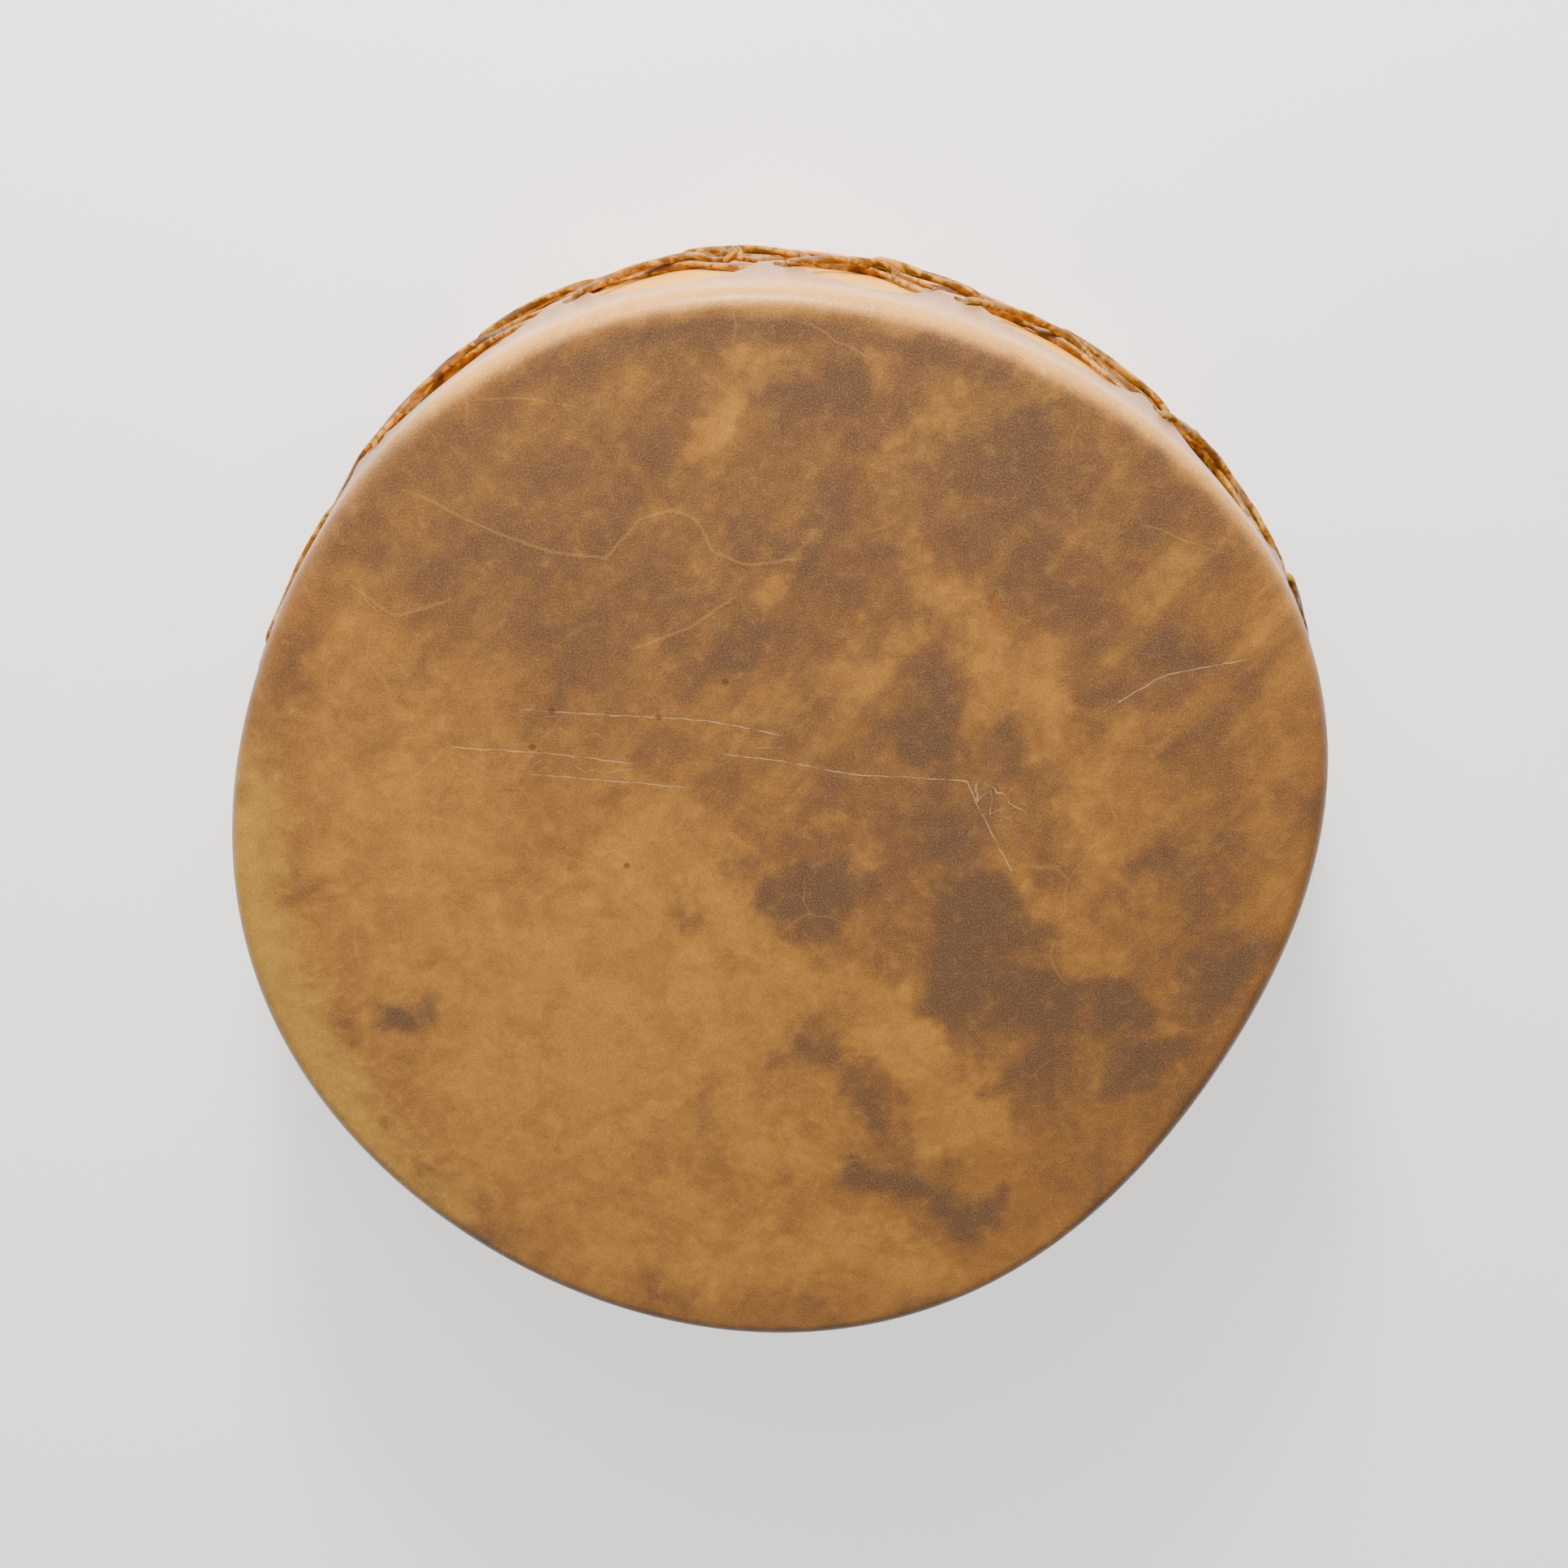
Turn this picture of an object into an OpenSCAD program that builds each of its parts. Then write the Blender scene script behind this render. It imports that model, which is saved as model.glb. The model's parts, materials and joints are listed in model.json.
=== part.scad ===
// Two-headed rawhide hoop drum.
// Both skins fold over the rounded edges of one bent hoop and are drawn together by a long
// rawhide lace. The lace goes three times round the drum, in four lengths knotted end to end.
// Origin: centre of the rear head's flat face. +Z is the drum's axis, out of the front head.

/* [Drum] */
// Diameter over the skin at the rim
drum_diameter = 450; // [320:10:620]
// Flat face of the rear head to flat face of the front head
drum_depth = 116; // [108:2:150]
// Number of lace holes in each head
hole_count = 16; // [14:2:16]

/* [Hoop] */
// Thickness of the bent plank
plank_thickness = 8; // [7:0.5:10]
// Length of the scarf where the plank's two ends overlap
scarf_length = 78; // [50:2:110]
// Blunt nose left at each end of the scarf
scarf_nose = 1.2; // [0.8:0.1:2]
// Width of the glue line in the scarf
glue_line = 0.3; // [0.2:0.05:0.5]
// Ease on the plank's inner edges
inner_ease = 1; // [0.5:0.1:1.5]

/* [Scarf tacks] */
// Diameter of a tack's shank
tack_shank = 2; // [1.6:0.1:2.6]
// Diameter of a tack's countersunk head
tack_head = 5; // [4:0.2:6]
// Thickness of a tack's head
tack_head_depth = 1.2; // [0.8:0.1:1.8]
// Diameter of the clenched end on the inside
tack_clench = 3.6; // [3:0.2:5]
// Height of the clenched end on the inside
tack_clench_height = 0.8; // [0.5:0.1:1.2]
// Tack rows stand this far in front of and behind the waist
tack_row_offset = 27; // [24:1:34]

/* [Heads] */
// Thickness of the rawhide
skin_thickness = 1.4; // [1:0.1:1.8]
// Outer radius of the skin where it folds over the rim
rim_radius = 8; // [6.5:0.5:9]
// How far the scalloped skirt stands out at its tips, with the lace tucked under it
skirt_flare = 3.2; // [3:0.1:5]
// Head's flat face to the tips of the skirt
tip_depth = 47; // [44:1:49]
// Head's flat face to the top of each scallop
valley_depth = 25; // [22:1:30]
// Radius of the scallops
scallop_radius = 33; // [28:1:36]
// Head's flat face to the centre of the lace holes
hole_depth = 39; // [36:1:40]
// Diameter of the lace holes
hole_diameter = 7; // [6:0.2:8]

/* [Lace] */
// Thickness of the twisted lace over its flats
lace_thickness = 4.8; // [4:0.2:5]
// Thickness of the lace where it is pressed flat under a skirt
pressed_thickness = 1.5; // [1.2:0.1:1.7]
// Width of the lace where it is pressed flat
pressed_width = 5.4; // [4.6:0.2:6]
// Diameter of a knot that joins two lengths
knot_diameter = 8.4; // [7:0.2:9]
// Length of a knot along the lace
knot_length = 9; // [7:0.5:11]
// Depth to which the next length is drawn into a knot
knot_socket = 4; // [2.5:0.5:5]

/* [Hidden] */
// Space left between parts that lie on each other
gap = 0.3;
// Smoothness of round parts
round_fn = 96;
small_fn = 24;
lace_sides = 8;

drum_radius = drum_diameter / 2;
wood_radius = drum_radius - skin_thickness - gap;
wood_inner = wood_radius - plank_thickness;
wood_edge = rim_radius - skin_thickness - gap;
hoop_bottom = skin_thickness + gap;
hoop_height = drum_depth - 2 * hoop_bottom;
waist = drum_depth / 2;
pitch = 360 / hole_count;
first_hole = 90;
through = 40;

// Heights above the wood at which the lace's centre line runs
lie = lace_thickness / 2 + 1;
skirt_stand = gap + skirt_flare * (hole_depth - rim_radius) / (tip_depth - rim_radius);
over_skirt = skirt_stand + skin_thickness + lace_thickness / 2 + gap;
over_lace = lie + lace_thickness + 0.7;
pressed = gap + pressed_thickness / 2 + 0.1;
// Distance from the waist to a lace hole
reach = waist - hole_depth;

function polar(r, a) = [r * cos(a), r * sin(a)];

// ---------- hoop ----------

scarf_angle = -90;
scarf_half = scarf_length / wood_radius * 90 / PI;
scarf_steps = 8;

// A point of the scarf's slope, from the nose outside (t = 0) to the nose inside (t = 1)
function slope_radius(t) = (wood_radius - scarf_nose) * (1 - t) + (wood_inner + scarf_nose) * t;
function slope_angle(t) = scarf_angle - scarf_half + 2 * scarf_half * t;
function slope_side(side) =
    [for (i = [0 : scarf_steps])
        polar(slope_radius(i / scarf_steps) + side * glue_line / 2, slope_angle(i / scarf_steps))];

module plank_section() {
    difference() {
        translate([wood_inner, hoop_bottom]) square([plank_thickness, hoop_height]);
        for (end = [0, 1]) translate([0, end * drum_depth]) mirror([0, end]) {
            // rounded bearing edge outside
            difference() {
                translate([wood_radius - wood_edge, hoop_bottom - 1])
                    square([wood_edge + 1, wood_edge + 1]);
                translate([wood_radius - wood_edge, hoop_bottom + wood_edge])
                    circle(r = wood_edge, $fn = round_fn);
            }
            // eased edge inside
            translate([wood_inner, hoop_bottom]) rotate(45)
                square(inner_ease * sqrt(2), center = true);
        }
    }
}

module scarf_cut() {
    translate([0, 0, -1]) linear_extrude(drum_depth + 2) {
        polygon(concat(slope_side(1), [for (i = [scarf_steps : -1 : 0]) slope_side(-1)[i]]));
        rotate(slope_angle(0)) translate([wood_radius - scarf_nose - glue_line / 2, -glue_line])
            square([scarf_nose + 2, glue_line]);
        rotate(slope_angle(1)) translate([wood_inner - 2, 0])
            square([scarf_nose + 2 + glue_line / 2, glue_line]);
    }
}

module tack_places() {
    for (column = [-1, 0, 1], row = [-1, 1])
        rotate(scarf_angle + column * scarf_half / 2)
            translate([0, 0, waist + row * tack_row_offset]) rotate([0, 90, 0]) children();
}

module hoop() {
    color([0.93, 0.78, 0.55]) difference() {
        rotate_extrude($fn = round_fn) plank_section();
        scarf_cut();
        tack_places() {
            cylinder(d = tack_shank + gap, h = wood_radius + 1, $fn = small_fn);
            translate([0, 0, wood_radius - tack_head_depth - gap])
                cylinder(d1 = tack_shank + gap, d2 = tack_head + 2 * gap,
                         h = tack_head_depth + gap, $fn = small_fn);
            translate([0, 0, wood_radius]) cylinder(d = tack_head + 2 * gap, h = 1, $fn = small_fn);
        }
    }
}

module scarf_tacks() {
    color([0.55, 0.5, 0.42]) tack_places() {
        translate([0, 0, wood_inner - tack_clench_height])
            cylinder(d = tack_shank, h = plank_thickness, $fn = small_fn);
        translate([0, 0, wood_radius - tack_head_depth - gap / 2])
            cylinder(d1 = tack_shank, d2 = tack_head, h = tack_head_depth, $fn = small_fn);
        translate([0, 0, wood_inner - tack_clench_height - gap / 2])
            cylinder(d = tack_clench, h = tack_clench_height, $fn = small_fn);
    }
}

// ---------- heads ----------

// A head with its flat face at height 0: the flat skin, its fold and its flared skirt
module plain_head() {
    fold_at = drum_radius - rim_radius;
    translate([0, 0, -skin_thickness]) cylinder(r = fold_at, h = skin_thickness, $fn = round_fn);
    rotate_extrude($fn = round_fn) translate([fold_at, -rim_radius]) intersection() {
        difference() {
            circle(r = rim_radius, $fn = round_fn);
            circle(r = rim_radius - skin_thickness, $fn = round_fn);
        }
        square(rim_radius);
    }
    rotate_extrude($fn = round_fn)
        polygon([[drum_radius - skin_thickness, -rim_radius], [drum_radius, -rim_radius],
                 [drum_radius + skirt_flare, -tip_depth],
                 [drum_radius + skirt_flare - skin_thickness, -tip_depth]]);
}

// The holes sit at first_hole and every pitch from it, with a scallop between each pair
module head_shape(turn) {
    difference() {
        plain_head();
        for (k = [0 : hole_count - 1]) {
            rotate(first_hole + turn + k * pitch)
                translate([drum_radius - through / 2, 0, -hole_depth]) rotate([0, 90, 0])
                    cylinder(d = hole_diameter, h = through, $fn = small_fn);
            rotate(first_hole + turn + (k + 0.5) * pitch)
                translate([drum_radius - through / 2, 0, -valley_depth - scallop_radius])
                    rotate([0, 90, 0]) cylinder(r = scallop_radius, h = through, $fn = round_fn);
        }
    }
}

module front_head() {
    color([0.72, 0.53, 0.3]) translate([0, 0, drum_depth]) head_shape(0);
}

module rear_head() {
    color([0.66, 0.47, 0.29]) mirror([0, 0, 1]) head_shape(pitch / 2);
}

// ---------- lace ----------

// A place on the lace: along (in hole spacings from the hole it left), front of the waist, above the wood
function place(start, side, q) =
    concat(polar(wood_radius + q[2], first_hole - pitch * (start + q[0])), [waist + side * q[1]]);

// One strand, from the hole it comes out of to the foot of the opposite head's hole, one and a
// half spacings on. It rises over the strand that leaves the waist, lies along the waist, goes
// under the strand that joins there, and is pressed flat under the opposite skirt.
strand = [
    [0, reach, over_skirt],
    [0.34, 5, over_lace],
    [0.54, -1.5, over_lace],
    [0.70, -1.5, lie],
    [0.92, 0, lie - 0.2],
    [1.24, -reach * 0.68, lie - 0.2],
];
strip = [
    [1.22, -reach * 0.66, pressed],
    [1.36, -reach * 0.85, pressed],
    [1.50, -reach, pressed],
];
knot_from = 3;
knot_at = 0.3;

function mix(a, b, t) = a * (1 - t) + b * t;
function knot_spot() = let (q = mix(strand[knot_from], strand[knot_from + 1], knot_at))
    [q[0], q[1], knot_diameter / 2 + gap];
function knot_place(start, side) = place(start, side, knot_spot());
function unit(v) = v / norm(v);

module aim(a, b) {
    d = b - a;
    translate(a) rotate([0, acos(d[2] / norm(d)), atan2(d[1], d[0])]) children();
}

// A straight run of twisted lace from a to b
module run(a, b, before = 0.9, after = 0.9) {
    across = lace_thickness / cos(180 / lace_sides);
    aim(a, b) translate([0, 0, -before]) rotate(180 / lace_sides)
        cylinder(d = across, h = norm(b - a) + before + after, $fn = lace_sides);
}

// A run of lace pressed flat against the wood, from a to b
module pressed_run(a, b) {
    middle = (a + b) / 2;
    turn = atan2(middle[1], middle[0]);
    along = norm([b[0] - a[0], b[1] - a[1]]);
    slope = atan2(b[2] - a[2], along);
    translate(middle) rotate(turn) rotate([-slope, 0, 0])
        cube([pressed_thickness, norm(b - a) + pressed_width * 0.4, pressed_width], center = true);
}

// The lace's upright part through a hole
module stem(start, side) {
    foot = place(start, side, [0, reach, pressed - pressed_thickness / 2]);
    top = place(start, side, strand[0]);
    run(foot, top, 0, lace_thickness / 2);
}

// The part of a strand up to its knot, if it has one
module strand_to_knot(start, side) {
    for (i = [0 : knot_from - 1])
        run(place(start, side, strand[i]), place(start, side, strand[i + 1]));
    run(place(start, side, strand[knot_from]), knot_place(start, side));
}

// The part of a strand after its knot, starting this far beyond the knot's middle
module strand_from(start, side, beyond) {
    ahead = place(start, side, strand[knot_from + 1]);
    middle = knot_place(start, side);
    run(middle + beyond * unit(ahead - middle), ahead, 0, 0.9);
    for (i = [knot_from + 1 : len(strand) - 2])
        run(place(start, side, strand[i]), place(start, side, strand[i + 1]));
    for (i = [0 : len(strip) - 2])
        pressed_run(place(start, side, strip[i]), place(start, side, strip[i + 1]));
}

module knot(start, side) {
    from = place(start, side, strand[knot_from]);
    ahead = place(start, side, strand[knot_from + 1]);
    middle = knot_place(start, side);
    difference() {
        aim(middle, middle + ahead - from) translate([0, 0, -knot_length / 2])
            rotate(180 / lace_sides)
                cylinder(d = knot_diameter, h = knot_length, $fn = lace_sides);
        aim(middle, ahead) translate([0, 0, knot_length / 2 - knot_socket - gap])
            rotate(180 / lace_sides)
                cylinder(d = lace_thickness / cos(180 / lace_sides) + 2 * gap, h = knot_length,
                         $fn = lace_sides);
    }
}

// The lace from the knot on one strand to the knot on a later one. Strands are counted along
// the lace from the one that leaves the first front hole; odd ones leave the rear head.
module lace_length(from, to) {
    color([0.8, 0.58, 0.3]) {
        strand_from(1.5 * from, side_of(from), knot_length / 2 - knot_socket);
        for (j = [from + 1 : to - 1]) {
            stem(1.5 * j, side_of(j));
            strand_to_knot(1.5 * j, side_of(j));
            strand_from(1.5 * j, side_of(j), -lace_thickness / 2);
        }
        stem(1.5 * to, side_of(to));
        strand_to_knot(1.5 * to, side_of(to));
        knot(1.5 * to, side_of(to));
    }
}

function side_of(j) = j % 2 == 0 ? 1 : -1;

knotted = [1, 10, 18, 26, 1 + 2 * hole_count];

module lace_length_1() { lace_length(knotted[0], knotted[1]); }
module lace_length_2() { lace_length(knotted[1], knotted[2]); }
module lace_length_3() { lace_length(knotted[2], knotted[3]); }
module lace_length_4() { lace_length(knotted[3], knotted[4]); }

hoop();
scarf_tacks();
front_head();
rear_head();
lace_length_1();
lace_length_2();
lace_length_3();
lace_length_4();
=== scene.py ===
"""Two-headed rawhide hoop drum, lying on its rear head: skins, lacing, hoop and tacks."""

import json
import math

import bmesh
import bpy
import numpy as np
from mathutils import Matrix, Vector, noise

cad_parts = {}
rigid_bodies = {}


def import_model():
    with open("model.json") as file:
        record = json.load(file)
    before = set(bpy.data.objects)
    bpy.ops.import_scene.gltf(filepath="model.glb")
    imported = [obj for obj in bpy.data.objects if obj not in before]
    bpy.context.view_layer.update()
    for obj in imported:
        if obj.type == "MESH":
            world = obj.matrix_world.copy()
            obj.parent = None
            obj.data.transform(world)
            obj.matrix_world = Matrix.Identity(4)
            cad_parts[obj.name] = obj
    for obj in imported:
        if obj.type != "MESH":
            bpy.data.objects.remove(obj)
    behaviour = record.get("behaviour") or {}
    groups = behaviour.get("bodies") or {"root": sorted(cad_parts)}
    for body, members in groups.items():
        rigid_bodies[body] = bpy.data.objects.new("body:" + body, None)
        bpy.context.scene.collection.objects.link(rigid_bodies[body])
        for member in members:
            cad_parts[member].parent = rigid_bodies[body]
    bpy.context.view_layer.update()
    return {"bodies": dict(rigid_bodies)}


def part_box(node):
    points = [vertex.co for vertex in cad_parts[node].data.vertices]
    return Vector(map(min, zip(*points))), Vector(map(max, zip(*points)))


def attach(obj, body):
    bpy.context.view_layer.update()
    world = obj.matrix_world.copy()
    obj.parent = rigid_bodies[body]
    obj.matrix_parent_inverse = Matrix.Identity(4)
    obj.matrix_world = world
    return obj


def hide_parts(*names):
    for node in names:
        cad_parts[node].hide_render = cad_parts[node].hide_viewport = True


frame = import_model()

# ---------- sizes, in metres, from the frame ----------

MM = 0.001
FRONT_LOW, FRONT_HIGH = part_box("front_head")
HOOP_LOW, HOOP_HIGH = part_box("hoop")
DEPTH = FRONT_HIGH[2]
WAIST = DEPTH / 2
SKIN = 1.4 * MM
GAP = HOOP_LOW[2] - SKIN
RIM_R = HOOP_HIGH[0] + GAP + SKIN
FOLD = 8 * MM
PLANK = 8 * MM
FLARE = FRONT_HIGH[0] - RIM_R
TIP_DEPTH = DEPTH - FRONT_LOW[2]
VALLEY_DEPTH = 20 * MM
HOLE_DEPTH = 39 * MM
HOLE_R = 3.5 * MM
HOLES = 16
PITCH_ARC = 2 * math.pi * RIM_R / HOLES
AROUND = HOLES * 48  # vertices round the rim
TAPER = 0.03  # how much smaller the rear is, as a share of the radius

# ---------- the hand-made shape ----------

# Waves round the rim: how many, how large as a share of the radius, and the angle of a crest
OUT_OF_ROUND = ((2, 0.032, 68.5), (3, 0.0115, 24), (4, 0.0145, 14.5))
# How far each front hole is from an even spacing, in degrees, clockwise from the top
HOLE_SHIFT = (-3.5, 1.5, 1.8, 3.3, -1, 2, 0, -1.5, 1, 2, -1, 0.5, -2, -0.2, -2.8, -5.5)


def rim(theta):
    """The skin's outer radius at the rim."""
    waves = sum(size * np.cos(n * (theta - math.radians(at))) for n, size, at in OUT_OF_ROUND)
    return RIM_R * (1 + waves)


def wood(theta):
    """The hoop's outer radius."""
    return rim(theta) - SKIN - GAP


def angle_at(u):
    """The angle of a place u hole spacings clockwise from the top."""
    u = np.asarray(u, float)
    low = np.floor(u).astype(int)
    shift = np.array(HOLE_SHIFT)
    ease = (1 - np.cos(math.pi * (u - low))) / 2
    between = shift[low % HOLES] * (1 - ease) + shift[(low + 1) % HOLES] * ease
    return np.radians(90 - 360 / HOLES * u + between)


def smooth(low, high, x):
    """A smooth step from 0 at low to 1 at high."""
    t = np.clip((x - low) / (high - low), 0, 1)
    return t * t * (3 - 2 * t)


def rough(points, size, seed):
    """Smooth noise from -1 to 1 at each point, with features of that size."""
    offset = Vector((seed * 7.31, seed * 3.17, seed * 5.53))
    return np.array([noise.noise(Vector(p) / size + offset) for p in points])


def add_object(name, data):
    made = bpy.data.objects.new(name, data)
    bpy.context.scene.collection.objects.link(made)
    return made


def tidy_normals(piece):
    """All faces of a closed mesh turned outward."""
    mesh = bmesh.new()
    mesh.from_mesh(piece.data)
    bmesh.ops.recalc_face_normals(mesh, faces=mesh.faces)
    mesh.to_mesh(piece.data)
    mesh.free()


def new_piece(name, vertices, faces, material, node, sharp):
    """A mesh that stands for a CAD node and rides on the one body. It narrows to the rear."""
    shape = np.array(vertices, float)
    behind = np.clip(1 - shape[:, 2:] / DEPTH, 0, 1)
    shape[:, :2] *= 1 - TAPER * behind**2.5
    mesh = bpy.data.meshes.new(name)
    mesh.from_pydata([tuple(v) for v in shape], [], faces)
    mesh.update()
    for face in mesh.polygons:
        face.use_smooth = True
    mesh.set_sharp_from_angle(angle=math.radians(sharp))
    mesh.materials.append(material)
    piece = add_object(name, mesh)
    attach(piece, BODY)
    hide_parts(node)
    tidy_normals(piece)
    return piece


def same(ring, other):
    """Faces between two rings with as many vertices."""
    n = len(ring)
    return [(ring[j], ring[(j + 1) % n], other[(j + 1) % n], other[j]) for j in range(n)]


def tube(rings):
    """Faces along a row of rings, and over its two ends."""
    faces = []
    for ring, following in zip(rings, rings[1:]):
        faces += same(ring, following)
    return faces + [tuple(rings[0]), tuple(reversed(rings[-1]))]


def set_values(piece, name, values):
    """A number or a vector for each vertex, for the shaders."""
    values = np.asarray(values, np.float32)
    kind, key = ("FLOAT_VECTOR", "vector") if values.ndim == 2 else ("FLOAT", "value")
    layer = piece.data.attributes.new(name, kind, "POINT")
    layer.data.foreach_set(key, values.ravel())


BODY = next(iter(frame["bodies"]))

# ---------- shader helpers ----------


class Shader:
    """A material under construction: each call adds a node and gives its output."""

    def __init__(self, name):
        self.material = bpy.data.materials.new(name)
        self.material.use_nodes = True
        self.tree = self.material.node_tree
        self.bsdf = self.tree.nodes["Principled BSDF"]

    def put(self, socket, value):
        if isinstance(value, bpy.types.NodeSocket):
            self.tree.links.new(value, socket)
        else:
            socket.default_value = value

    def node(self, kind, **settings):
        made = self.tree.nodes.new(kind)
        for key, value in settings.items():
            setattr(made, key, value)
        return made

    def fill(self, made, **values):
        """The node with its inputs filled in, with underscores for the spaces in their names."""
        for name, value in values.items():
            self.put(made.inputs[name.replace("_", " ")], value)
        return made

    def attribute(self, name):
        return self.node("ShaderNodeAttribute", attribute_name=name)

    def math(self, operation, a, b=0.0, c=0.0, clamp=False):
        made = self.node("ShaderNodeMath", operation=operation, use_clamp=clamp)
        for socket, value in zip(made.inputs, (a, b, c)):
            self.put(socket, value)
        return made.outputs[0]

    def vector(self, operation, a, b=(0, 0, 0)):
        made = self.node("ShaderNodeVectorMath", operation=operation)
        self.put(made.inputs[0], a)
        self.put(made.inputs["Scale" if operation == "SCALE" else 1], b)
        return made.outputs["Value" if operation in ("DOT_PRODUCT", "LENGTH") else "Vector"]

    def mapped(self, vector, turn, stretch):
        """The vector turned back by an angle, then divided by how far the pattern is stretched."""
        made = self.node("ShaderNodeMapping", vector_type="TEXTURE")
        self.fill(made, Vector=vector, Rotation=(0, 0, math.radians(turn)), Scale=stretch)
        return made.outputs[0]

    def noise(self, vector, size, detail, roughness=0.55, warp=0.0):
        """Noise from 0 to 1 with features of that size in metres."""
        made = self.node("ShaderNodeTexNoise")
        self.fill(made, Vector=vector, Scale=1 / size, Detail=detail, Roughness=roughness, Distortion=warp)
        return made.outputs[0]

    def noise_vector(self, vector, size):
        """Noise in all three directions, around zero."""
        made = self.fill(self.node("ShaderNodeTexNoise"), Vector=vector, Scale=1 / size)
        return self.vector("SUBTRACT", made.outputs["Color"], (0.5, 0.5, 0.5))

    def cells(self, vector, size, feature="F1"):
        """The distance to the nearest cell's middle or edge, as a share of a cell's size."""
        made = self.node("ShaderNodeTexVoronoi", feature=feature)
        return self.fill(made, Vector=vector, Scale=1 / size).outputs["Distance"]

    def between(self, value, low, high, to_low=0.0, to_high=1.0):
        """A smooth step from to_low to to_high as the value goes from low to high."""
        made = self.node("ShaderNodeMapRange", interpolation_type="SMOOTHSTEP")
        self.fill(made, Value=value, From_Min=low, From_Max=high, To_Min=to_low, To_Max=to_high)
        return made.outputs["Result"]

    def mix(self, share, a, b):
        made = self.node("ShaderNodeMix", data_type="RGBA")
        for socket, value in ((0, share), (6, a), (7, b)):
            self.put(made.inputs[socket], value)
        return made.outputs[2]

    def bump(self, height, strength, distance):
        made = self.node("ShaderNodeBump")
        return self.fill(made, Strength=strength, Distance=distance, Height=height).outputs[0]

    def line(self, name, wobble, width):
        """1 on a drawn line, 0 at width from it: its attribute holds (side distance, share drawn, 0)."""
        parts = self.node("ShaderNodeSeparateXYZ")
        self.put(parts.inputs[0], self.attribute(name).outputs["Vector"])
        away = self.math("ABSOLUTE", self.math("ADD", parts.outputs[0], wobble))
        mask = self.math("SUBTRACT", 1.0, self.math("DIVIDE", away, width), clamp=True)
        return self.math("MULTIPLY", mask, parts.outputs[1])

    def dot(self, name, radius):
        """1 in the middle of a round mark, 0 at its edge: its attribute points from the middle."""
        away = self.vector("LENGTH", self.attribute(name).outputs["Vector"])
        return self.between(away, radius * 0.5, radius, 1, 0)

    def mark(self, colour, ragged, name, raggedness, low, high, strength, tone):
        """The colour with a ragged mark on it where its attribute rises from low to high."""
        edge = self.math("MULTIPLY", ragged, raggedness)
        share = self.math("ADD", self.attribute(name).outputs["Fac"], edge)
        return self.mix(self.between(share, low, high, 0, strength), colour, tone)

    def finish(self, colour, roughness, normal, specular=0.5):
        self.fill(self.bsdf, Base_Color=colour, Roughness=roughness, Normal=normal)
        self.bsdf.inputs["Specular IOR Level"].default_value = specular
        return self.material


def rgb(red, green, blue):
    """A linear colour from display values of 0 to 255."""
    return tuple(((c / 255 + 0.055) / 1.055) ** 2.4 for c in (red, green, blue)) + (1.0,)


# ---------- the marks on the front head, in millimetres from its centre ----------

# Dark stains: centre, half sizes, turn in degrees, strength
STAINS = (
    ((70, -8), (70, 100), -30, 0.6),
    ((100, -80), (72, 42), -35, 0.65),
    ((42, -125), (50, 34), -30, 0.5),
    ((80, 140), (120, 70), 0, 0.6),
    ((-64, 135), (100, 80), 0, 0.6),
    ((12, 71), (90, 70), 0, 0.45),
    ((160, 10), (50, 110), 0, 0.35),
    ((68, 61), (15, 20), 0, 1.0),
    ((98, 49), (10, 12), 0, 0.8),
    ((75, 5), (16, 22), 20, 0.9),
    ((86, -30), (28, 22), -30, 1.0),
    ((78, -57), (20, 22), 0, 1.0),
    ((106, -68), (22, 18), -20, 1.0),
    ((136, -78), (22, 12), -50, 1.1),
    ((86, -86), (14, 9), 0, 0.6),
    ((106, 162), (24, 26), 0, 0.85),
    ((110, 137), (17, 20), 0, 0.75),
    ((28, 135), (11, 24), -42, 1.0),
    ((-3, 98), (9, 24), -42, 1.0),
    ((19, 192), (12, 24), -38, 1.0),
    ((21, -18), (23, 22), 0, 1.25),
    ((-4, 1), (24, 12), 10, 0.8),
    ((-15, -9), (12, 7), 0, 0.6),
    ((-37, -26), (9, 9), 0, 1.0),
    ((-14, -49), (9, 12), 0, 0.6),
    ((15, -89), (12, 18), 20, 0.8),
    ((40, -120), (8, 11), 0, 0.7),
    ((2, -120), (9, 4), -30, 0.6),
    ((-24, -126), (3.5, 12), 25, 0.8),
    ((34, -153), (18, 8), -25, 0.9),
    ((58, -163), (16, 8), -20, 0.85),
    ((82, -168), (11, 11), 0, 0.9),
    ((-159, -59), (22, 9), -22, 1.1),
    ((-120, -118), (26, 22), 0, 0.35),
    ((-81, 171), (18, 15), 0, 0.45),
    ((-128, 167), (14, 14), 0, 0.4),
    ((-51, 127), (20, 11), 20, 0.5),
    ((-63, 83), (15, 18), 0, 0.45),
    ((42, 122), (12, 20), -40, 0.5),
    ((168, -18), (15, 13), 0, 0.7),
    ((185, 3), (8, 13), 0, 0.5),
    ((180, -64), (13, 22), -28, 0.95),
    ((149, -106), (12, 20), -42, 0.9),
    ((-5, -30), (50, 42), -40, 0.45),
    ((150, 72), (22, 20), 0, 0.7),
    ((140, 92), (15, 12), 0, 0.45),
    ((60, 89), (22, 7), -50, 0.5),
)
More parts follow.
